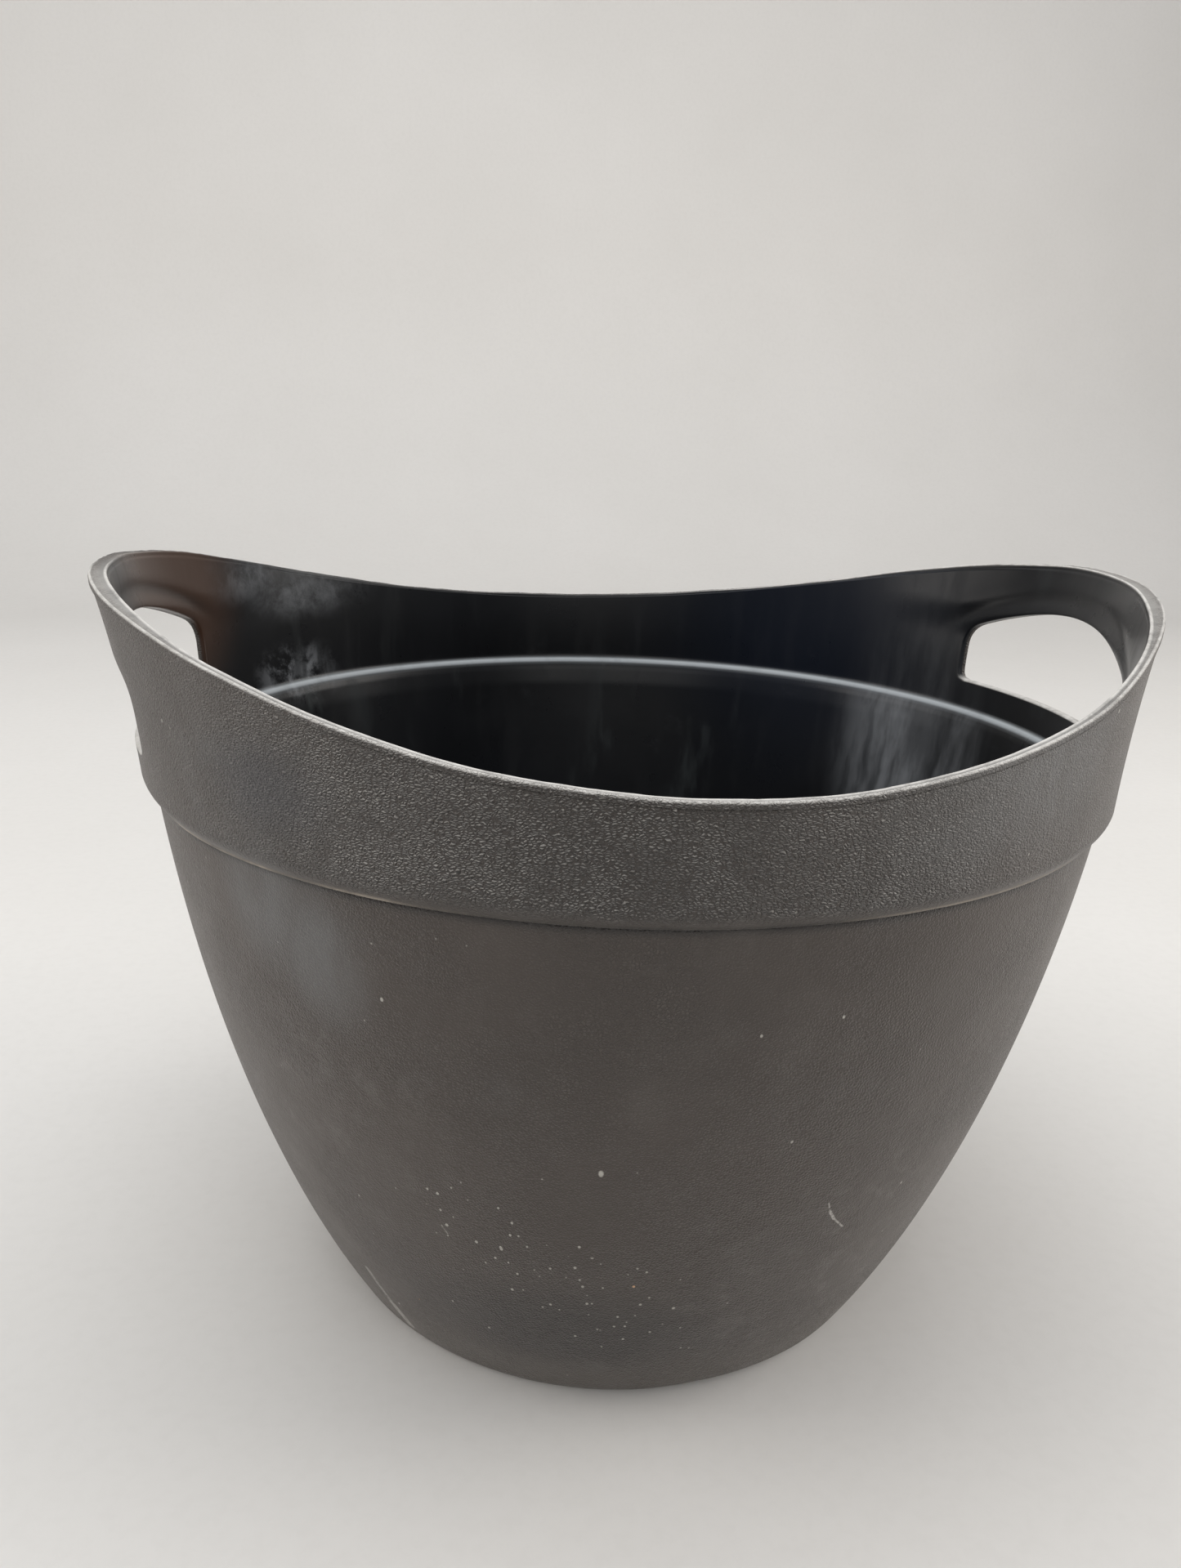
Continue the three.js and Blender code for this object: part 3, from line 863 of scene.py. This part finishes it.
def rubber():
    n = Nodes("plug_rubber")
    x, y, z = n.sep()
    mottle = n.noise(160, 5, 0.6)
    base = n.mix(n.step(mottle, 0.35, 0.7), rgb(0.0135, 0.0135, 0.0145), rgb(0.024, 0.0235, 0.0235))
    bloom = n.mul(n.step(n.noise(330, 5, 0.7), 0.50, 0.74), 0.45)
    base = n.mix(bloom, base, rgb(0.055, 0.053, 0.050))
    silt = n.mul(n.step(z, 0.0125, 0.0085), n.step(n.noise(260, 4, 0.6), 0.40, 0.66), 0.7)
    base = n.mix(silt, base, rgb(0.080, 0.070, 0.056))
    top = n.mul(n.step(z, 0.0195, 0.0212), n.step(n.noise(420, 3), 0.42, 0.62), 0.5)
    base = n.mix(top, base, rgb(0.075, 0.072, 0.068))
    n.put(n.bsdf.inputs["Base Color"], base)
    n.put(n.bsdf.inputs["Roughness"], n.add(0.58, n.mul(mottle, 0.2)))
    n.put(n.bsdf.inputs["Normal"], n.bump(n.noise(1400, 4, 0.6), 0.00012, 0.7))
    return n.mat


def floor_material():
    n = Nodes("pale_floor")
    m = n.noise(3.0, 5, 0.6)
    fine = n.noise(160, 4, 0.6)
    base = n.mix(m, rgb(0.66, 0.64, 0.61), rgb(0.73, 0.71, 0.685))
    base = n.mix(n.mul(n.step(fine, 0.4, 0.7), 0.12), base, rgb(0.58, 0.56, 0.53))
    n.put(n.bsdf.inputs["Base Color"], base)
    n.bsdf.inputs["Roughness"].default_value = 0.7
    n.put(n.bsdf.inputs["Normal"], n.bump(fine, 0.0002, 0.3))
    return n.mat


# ---- where the marks are, on the wall --------------------------------------------
def on_wall(deg, z, inside=False):
    a = math.radians(deg)
    r = float(body_r(z)) if z < CREASE_Z else float(collar_r(np.array(a), np.array(z)))
    if inside:
        r -= 3.0
    return (r * math.cos(a) * 0.001, r * math.sin(a) * 0.001, z * 0.001)


# dust smudges; entry 4 is the place of the painted bluish sheen
SMUDGES_AND_SHEEN = [on_wall(222.5, 180), on_wall(229.5, 168), on_wall(218, 208), on_wall(291, 225), on_wall(226, 214), on_wall(301, 230)]
SPECKS = [on_wall(257, 66), on_wall(243.5, 85), on_wall(264, 46)]
INSIDE = [on_wall(137, 231, True), on_wall(140, 198, True), on_wall(26, 174, True), on_wall(166, 241, True), on_wall(128, 205, True), on_wall(48, 224, True), on_wall(149, 240, True)]
BIG_SPECK = on_wall(258.6, 112.4)
# centre of the painted shade low on the front
BELLY_SHADE = on_wall(255, 38)
FROST = [on_wall(292, 55), on_wall(222, 120)]
GRAIN_AT = on_wall(258, 207)
GRAIN_BACK = on_wall(88, 207)
CREASE_AT = [on_wall(222, 190.4), on_wall(297, 190.4)]
SCRATCHES = [
    (on_wall(286.2, 92), on_wall(286.9, 88), 0.00020, 0.7),
    (on_wall(286.9, 88), on_wall(288.0, 84), 0.00034, 1.0),
    (on_wall(288.0, 84), on_wall(290.2, 78.5), 0.00022, 0.8),
    (on_wall(218.6, 34), on_wall(220.2, 17), 0.0008, 0.55),
    (on_wall(220.2, 17), on_wall(221.5, 7), 0.0013, 0.70),
    (on_wall(239.2, 81), on_wall(239.8, 78), 0.00022, 0.5),
    (on_wall(272.0, 120), on_wall(275.0, 118), 0.00012, 0.25),
    (on_wall(262.0, 231), on_wall(266.0, 229), 0.00012, 0.25),
]
plastic_mat = plastic()
tub.data.materials.append(plastic_mat)
plug.data.materials.append(rubber())

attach(tub, "tub")
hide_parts("tub")
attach(plug, "plug")
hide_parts("drain_plug")

# ---- floor, light and camera -------------------------------------------------------
def sweep():
    """A pale floor that curves up into a backdrop well behind the object."""
    pts = [(-4.0, 0.0), (1.5, 0.0)]
    for k in range(1, 13):
        t = math.radians(90 * k / 12)
        pts.append((1.5 + 0.6 * math.sin(t), 0.6 - 0.6 * math.cos(t)))
    pts.append((2.1, 3.2))
    v = []
    for x in (-4.5, 4.5):
        v += [(x, y, z) for y, z in pts]
    k = len(pts)
    f = [(i, k + i, k + i + 1, i + 1) for i in range(k - 1)]
    me = bpy.data.meshes.new("floor")
    me.from_pydata(v, [], f)
    me.polygons.foreach_set("use_smooth", np.ones(len(f), bool))
    ob = bpy.data.objects.new("floor", me)
    bpy.context.scene.collection.objects.link(ob)
    me.materials.append(floor_material())
    return ob


floor = sweep()


def area(name, place, target, size, power, colour):
    li = bpy.data.lights.new(name, "AREA")
    li.shape = "RECTANGLE"
    li.size, li.size_y = size
    li.energy = power
    li.color = colour
    ob = bpy.data.objects.new(name, li)
    bpy.context.scene.collection.objects.link(ob)
    ob.location = place
    ob.rotation_mode = "QUATERNION"
    ob.rotation_quaternion = (Vector(target) - Vector(place)).to_track_quat("-Z", "Y")
    return ob


area("overhead", (-0.25, 0.1, 1.9), (0, 0, 0.1), (2.0, 1.8), 24, (0.95, 0.98, 1.0))
area("front", (-0.2, -2.0, 1.2), (0, 0, 0.12), (2.2, 1.4), 13, (1.0, 0.98, 0.95))
area("side_left", (-2.0, 0.2, 0.9), (0, 0, 0.14), (1.2, 1.4), 14, (1.0, 0.95, 0.89))
area("side_right", (2.0, -0.1, 0.9), (0, 0, 0.14), (1.2, 1.4), 24, (1.0, 0.96, 0.91))

world = bpy.data.worlds.new("studio")
bpy.context.scene.world = world
world.use_nodes = True
bg = world.node_tree.nodes["Background"] if "Background" in world.node_tree.nodes else world.node_tree.nodes.new("ShaderNodeBackground")
bg.inputs[0].default_value = (0.90, 0.92, 0.96, 1)
bg.inputs[1].default_value = 0.42

cam_data = bpy.data.cameras.new("camera")
cam = bpy.data.objects.new("camera", cam_data)
bpy.context.scene.collection.objects.link(cam)
bpy.context.scene.camera = cam
yaw, pitch, roll = 0.160635, -0.289687, 0.032666
fwd = Vector((math.sin(yaw) * math.cos(pitch), math.cos(yaw) * math.cos(pitch), math.sin(pitch)))
right = Vector((math.cos(yaw), -math.sin(yaw), 0))
up = right.cross(fwd)
r2 = math.cos(roll) * right + math.sin(roll) * up
u2 = -math.sin(roll) * right + math.cos(roll) * up
m4 = Matrix((
    (r2.x, u2.x, -fwd.x, -0.080554),
    (r2.y, u2.y, -fwd.y, -0.423169),
    (r2.z, u2.z, -fwd.z, 0.305573),
    (0, 0, 0, 1),
))
cam.matrix_world = m4
cam_data.sensor_fit = "AUTO"
cam_data.sensor_width = 36
cam_data.lens = 36 * 1500 / 1919
cam_data.clip_start = 0.01
bpy.context.scene.view_settings.view_transform = "Standard"

bpy.context.view_layer.update()
